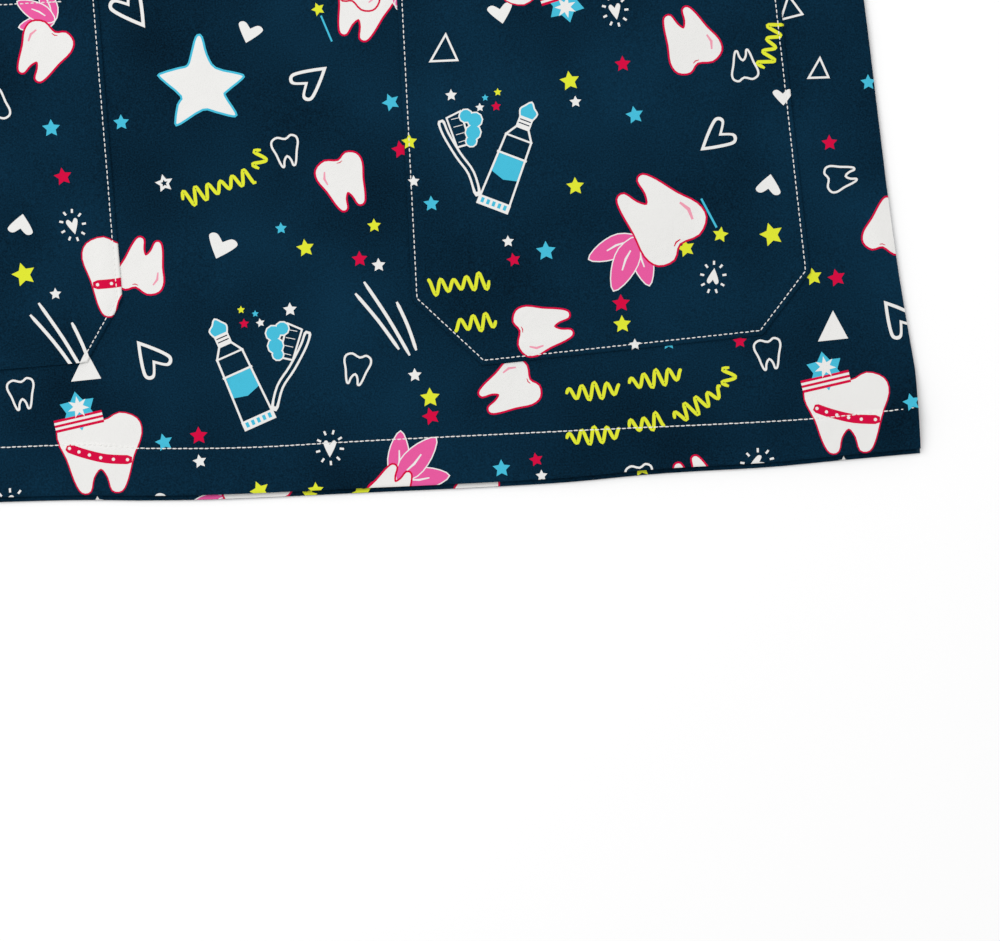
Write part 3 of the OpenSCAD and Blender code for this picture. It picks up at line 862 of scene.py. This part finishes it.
def stitches(name, runs, height_of, nodes, pitch=2.3, gap=0.55, radius=0.31, sunk=0.1):
    """Separate stitches along each run, each a short bulge of thread that dives into the cloth."""
    sides, rings = 6, (-1.0, -0.8, -0.35, 0.35, 0.8, 1.0)
    centres, ways = [], []
    for run in runs:
        run = np.asarray(run, float)
        steps = np.r_[0, np.cumsum(np.linalg.norm(np.diff(run, axis=0), axis=1))]
        count = max(int(round(steps[-1] / pitch)), 1)
        ends = np.linspace(0, steps[-1], count + 1)
        at = np.column_stack([np.interp(ends, steps, run[:, k]) for k in (0, 1)])
        for a, b in zip(at, at[1:]):
            centres.append((a + b) / 2)
            ways.append((b - a) * (1 - gap / pitch) / 2)
    centres, ways = np.array(centres), np.array(ways)
    wobble = 0.06 * np.sin(np.arange(len(centres)) * 2.4)
    verts, faces = [], []
    for ring in rings:
        line = centres + ways * ring
        z = height_of(line) + radius * 0.55 - sunk - radius * 1.1 * abs(ring) ** 3
        thin = radius * math.sqrt(max(1 - 0.82 * ring ** 4, 0.1))
        across_way = np.column_stack([-ways[:, 1], ways[:, 0]]) / np.linalg.norm(ways, axis=1)[:, None]
        for k in range(sides):
            a = 2 * math.pi * k / sides
            verts.append(world(line + across_way * (thin * math.cos(a) + wobble[:, None]),
                               z + thin * math.sin(a)))
    by_stitch = np.array(verts).transpose(1, 0, 2).reshape(-1, 3)
    block = len(rings) * sides
    for base in range(0, len(by_stitch), block):
        for r in range(len(rings) - 1):
            for k in range(sides):
                a, b = base + r * sides + k, base + r * sides + (k + 1) % sides
                faces.append((a, a + sides, b + sides, b))
        faces.append(tuple(base + k for k in range(sides)))
        faces.append(tuple(base + block - 1 - k for k in range(sides)))
    piece = new_object(name, by_stitch.tolist(), faces, [thread_white])
    piece.data.shade_smooth()
    work = bmesh.new()
    work.from_mesh(piece.data)
    bmesh.ops.recalc_face_normals(work, faces=work.faces)
    work.to_mesh(piece.data)
    work.free()
    return attach(piece, nodes)


def near_hem(low):
    """Lines of points that a folded lower edge needs."""
    return [hem_line(low + rise)[1:-1] for rise in (0.5, 1.2)]


def front_edge_round(points):
    """The front's outside, rounded over along its folded hem."""
    p = np.asarray(points, float)
    hem = p[:, 1] - BACK_SHOW - hem_edge(p[:, 0])
    drop = 1 - np.sqrt(1 - (1 - np.clip(hem / 1.2, 0, 1)) ** 2)
    return front_top(p) - 0.4 * drop


def strip(low, high, inset_by):
    """A band between two lines that run from side to side, as a cut."""
    scale = ((HEM_HALF - inset_by) / HEM_HALF, 1)
    return join(low * scale, (high * scale)[::-1])


def allowance(name, line, node):
    outline = join(shifted(line, 0.8), shifted(line, SEAM_WIDTH)[::-1])
    return cut(name, outline, level(INSIDE_BACK), [node], spacing=12, cloth=reverse)


# Turned hems show the printed side of the cloth to the inside
front_hem = turned_cloth("front_turned_hem", strip(hem_line(BACK_SHOW + 0.8), hem_line(-0.4, hem_fold), 2),
                         lambda p: front_under(p) - CLOTH - LAYER_GAP, "front_hem", (-30, -25), face="down")
hem_step = [hem_line(rise, hem_fold)[1:-1] for rise in (-1.6, -0.7, 0, 0.7, 1.6)]
cut("front_panel", front_outline, front_edge_round, ["front_body"], spread(ALL_PRINT),
    hem_step + near_hem(BACK_SHOW), 6.5)

inside_back = turned_cloth("back_turned_hem", strip(hem_line(0.1), hem_line(HEM_DEPTH - 0.4), 1.5),
                           level(INSIDE_BACK), "back_hem", (139, -102))
shoulder_line = np.linspace(SHOULDER_TIP, band_point, 8)[1:-1]
for prefix, placed in (("left", np.asarray), ("right", flip)):
    for word, line in (("side", side[3:-3]), ("armhole", armhole[1:-1]), ("shoulder", shoulder_line)):
        inside_back += allowance(f"{prefix}_{word}_allowance", placed(line), f"{prefix}_{word}_seam")
cut("back_panel", back_outline, level(FLOOR_GAP), ["back_body"], spread(ALL_PRINT, (7, 3)),
    near_hem(0), 14, cloth=reverse, face="down")

# Sleeves: two layers of one folded cut, and the turned hem between them


def sleeve_cut(prefix, placed, upper_moved, lower_moved):
    """One sleeve. placed puts what is drawn for the wearer's left on this sleeve's side."""
    cuff = [cuff_top + CUFF_MARGIN * cuff_way, cuff_bottom - CUFF_MARGIN * cuff_way]
    back = cuff - HEM_DEPTH * sleeve_way
    band = placed([cuff[0], back[0], back[1], cuff[1]])
    outline = placed(sleeve_outline)
    line = placed(np.linspace(cuff_top, cuff_bottom, 30) - HEM_DEPTH * sleeve_way)
    cuff_point, inwards = placed([cuff_top])[0], -placed([sleeve_way])[0]

    def outside(p):
        step = ease(((p - cuff_point) @ inwards - HEM_DEPTH + 0.6) / 1.6)
        return front_top(p) + 2 * CLOTH * (1 - step) - pressed(p, line)

    hem = turned_cloth(prefix + "_sleeve_turned_hem", band, lambda p: outside(p) - 2 * CLOTH - LAYER_GAP,
                       prefix + "_sleeve_hem", (25, 60), face="down")
    lower = prefix + "_sleeve_lower_cloth"
    cut(prefix + "_sleeve_upper_cloth", outline, outside, [prefix + "_sleeve_front"],
        spread(ALL_PRINT, upper_moved), [shifted(line, d) for d in (-0.7, 0, 0.7)])
    cut(lower, outline, level(FLOOR_GAP), [prefix + "_sleeve_back"],
        spread(ALL_PRINT, lower_moved), spacing=14, cloth=reverse, face="down")
    stitches(prefix + "_sleeve_hem_stitches", [line[1:-1]], outside, [prefix + "_sleeve_hem_stitching"])


sleeve_cut("left", np.asarray, (90, -30), (120, -30))
sleeve_cut("right", flip, (-60, 40), (-30, 40))

# Neckbands: the left one crosses over the right one at the point of the V


def band_height(over):
    def height(p):
        lift = 2 * CLOTH * ease((outer_v[1] + 75 - p[:, 1]) / 20) if over else 0
        fold = 0.35 * ease(distance(p, np.array([inner_v, neck_point])) / 1.5)
        return front_under(p) + CLOTH + 0.35 + lift + (fold if over else 0.2)
    return height


def band(name, outline, heights_of, node, rests_on, moved):
    cut(name, outline, heights_of, [node], spread(ALL_PRINT, moved), spacing=6,
        thickness=2 * CLOTH)


band("left_front_band", left_band_outline, band_height(True), "left_front_neckband", "front_panel",
     (40, 70))
band("right_front_band", right_band_outline, band_height(False), "right_front_neckband", "front_panel",
     (-110, 25))
band("back_band", join(back_neck_seam, back_neck_top[::-1]), level(BACK_TOP + CLOTH), "back_neckband",
     "back_panel", (15, -40))

# Pockets. Their surface needs lines of points along its rounded edge, its stitches and what is folded in
POCKET_RINGS = (0.25, 0.7, 1.5, EDGE_STITCH, 2.9, 4.5, 8, 10)
TACK_LENGTH = 6


def pocket_cut(prefix, outline, motifs):
    rings = [inset(outline, depth) for depth in POCKET_RINGS]
    lines = [join(ring, ring[:1]) for ring in rings]
    fold_v = POCKET_TOP - MOUTH_DEPTH
    left_u, right_u = sorted((outline[4][0], outline[5][0]))
    mouth_line = np.column_stack([np.linspace(left_u + 2.5, right_u - 2.5, 40), np.full(40, fold_v)])
    lines += [mouth_line + (0, d) for d in (-1, 0, 1)]

    def outside(p):
        return front_top(p) + pocket_lift(p, outline)

    low, high = (left_u + 9, fold_v), (right_u - 9, POCKET_TOP - 1)
    mouth = turned_cloth(prefix + "_pocket_turned_mouth", corner_box(low, high),
                         lambda p: outside(p) - 2 * CLOTH - LAYER_GAP, prefix + "_pocket_mouth_hem",
                         (10, 80), 10, "down")
    cut(prefix + "_pocket_patch", outline, outside, [prefix + "_pocket"], motifs, lines, 6)
    line = inset(outline, EDGE_STITCH)
    around = join(line[5], line[:5])
    tacks = []
    for u, way in ((left_u + 2.4, 1), (right_u - 2.4, -1)):
        end = u + TACK_LENGTH * way
        tacks += [[(u, fold_v), (end, fold_v)], [(end, fold_v), (end, POCKET_TOP - 1.5)]]
    stitches(prefix + "_pocket_stitches", [around[i:i + 2] for i in range(5)], outside,
             [prefix + "_pocket_stitching"], gap=0.48, radius=0.27)
    stitches(prefix + "_pocket_mouth_stitches", [mouth_line], outside, [prefix + "_pocket_mouth_stitching"],
             gap=0.48, radius=0.27)
    stitches(prefix + "_pocket_tacks", tacks, outside, [prefix + "_pocket_bartacks"])


pocket_cut("left", left_pocket_outline, once(POCKET_PRINT))
same_on_both = [entry for entry in POCKET_PRINT if entry[0] != "squiggle" and entry[1] < 224]
pocket_cut("right", right_pocket_outline, once(SIDE_POCKET_PRINT) + once(same_on_both, (-REPEAT[0], 0)))

# Labels


def label(name, node, low, size):
    def bowed(p):
        return BACK_TOP + 0.35 + 0.35 * np.sin((p[:, 1] - low[1]) / size[1] * math.pi)
    cut(name, corner_box(low, np.add(low, size)), bowed, [node], spacing=3,
        cloth=label_white, thickness=0.3)


label("neck_label", "size_label", (-13, neck_low - 31), (26, 32))
label("side_label", "care_label", (213, 165), (32, 44))

# Stitching on the body
stitches("front_hem_stitches", [front_hem_stitches], front_top, ["front_hem_stitching"], gap=0.2)
stitches("back_hem_stitches", [hem_line(HEM_DEPTH - 2)[1:-1]], level(INSIDE_BACK), ["back_hem_stitching"])
stitches("neck_stitches", v_stitches, front_top, ["neckband_stitching"])
stitches("back_neck_stitches", [across(band_point[0] - 2, band_point[1] - 4, neck_low - 2)],
         level(BACK_TOP), [])

# ---------------------------------------------------------------- floor, light and camera

pale = bpy.data.materials.new("pale_floor")
pale.use_nodes = True
pale_shader = pale.node_tree.nodes["Principled BSDF"]
pale_shader.inputs["Base Color"].default_value = (0.97, 0.97, 0.97, 1)
pale_shader.inputs["Roughness"].default_value = 0.9
pale_shader.inputs["Specular IOR Level"].default_value = 0.1
flat_square("floor", 3, [pale])

scene = bpy.context.scene
scene.view_settings.view_transform = "Standard"
scene.world = scene.world or bpy.data.worlds.new("world")
scene.world.use_nodes = True
sky = scene.world.node_tree.nodes["Background"]
sky.inputs["Color"].default_value = (1, 1, 1, 1)
sky.inputs["Strength"].default_value = 0.78
lamp = bpy.data.lights.new("key", "AREA")
lamp.energy = 26
lamp.size = 1.6
key = bpy.data.objects.new("key", lamp)
key.location = (-1.1, 0.9, 1.7)
key.rotation_euler = (math.radians(-28), math.radians(-33), 0)
bpy.context.collection.objects.link(key)

VIEW_MIDDLE = (96.3, 6.2)
VIEW_WIDTH = 430        # millimetres across the picture
VIEW_TURN = -3.07       # degrees
LENS = 85
SENSOR = 36
camera_data = bpy.data.cameras.new("camera")
camera_data.lens = LENS
camera_data.sensor_width = SENSOR
camera = bpy.data.objects.new("camera", camera_data)
bpy.context.collection.objects.link(camera)
middle = world([VIEW_MIDDLE], 0)[0]
camera.location = (middle[0], middle[1], VIEW_WIDTH * MM * LENS / SENSOR)
camera.rotation_euler = (0, 0, math.radians(VIEW_TURN))
scene.camera = camera
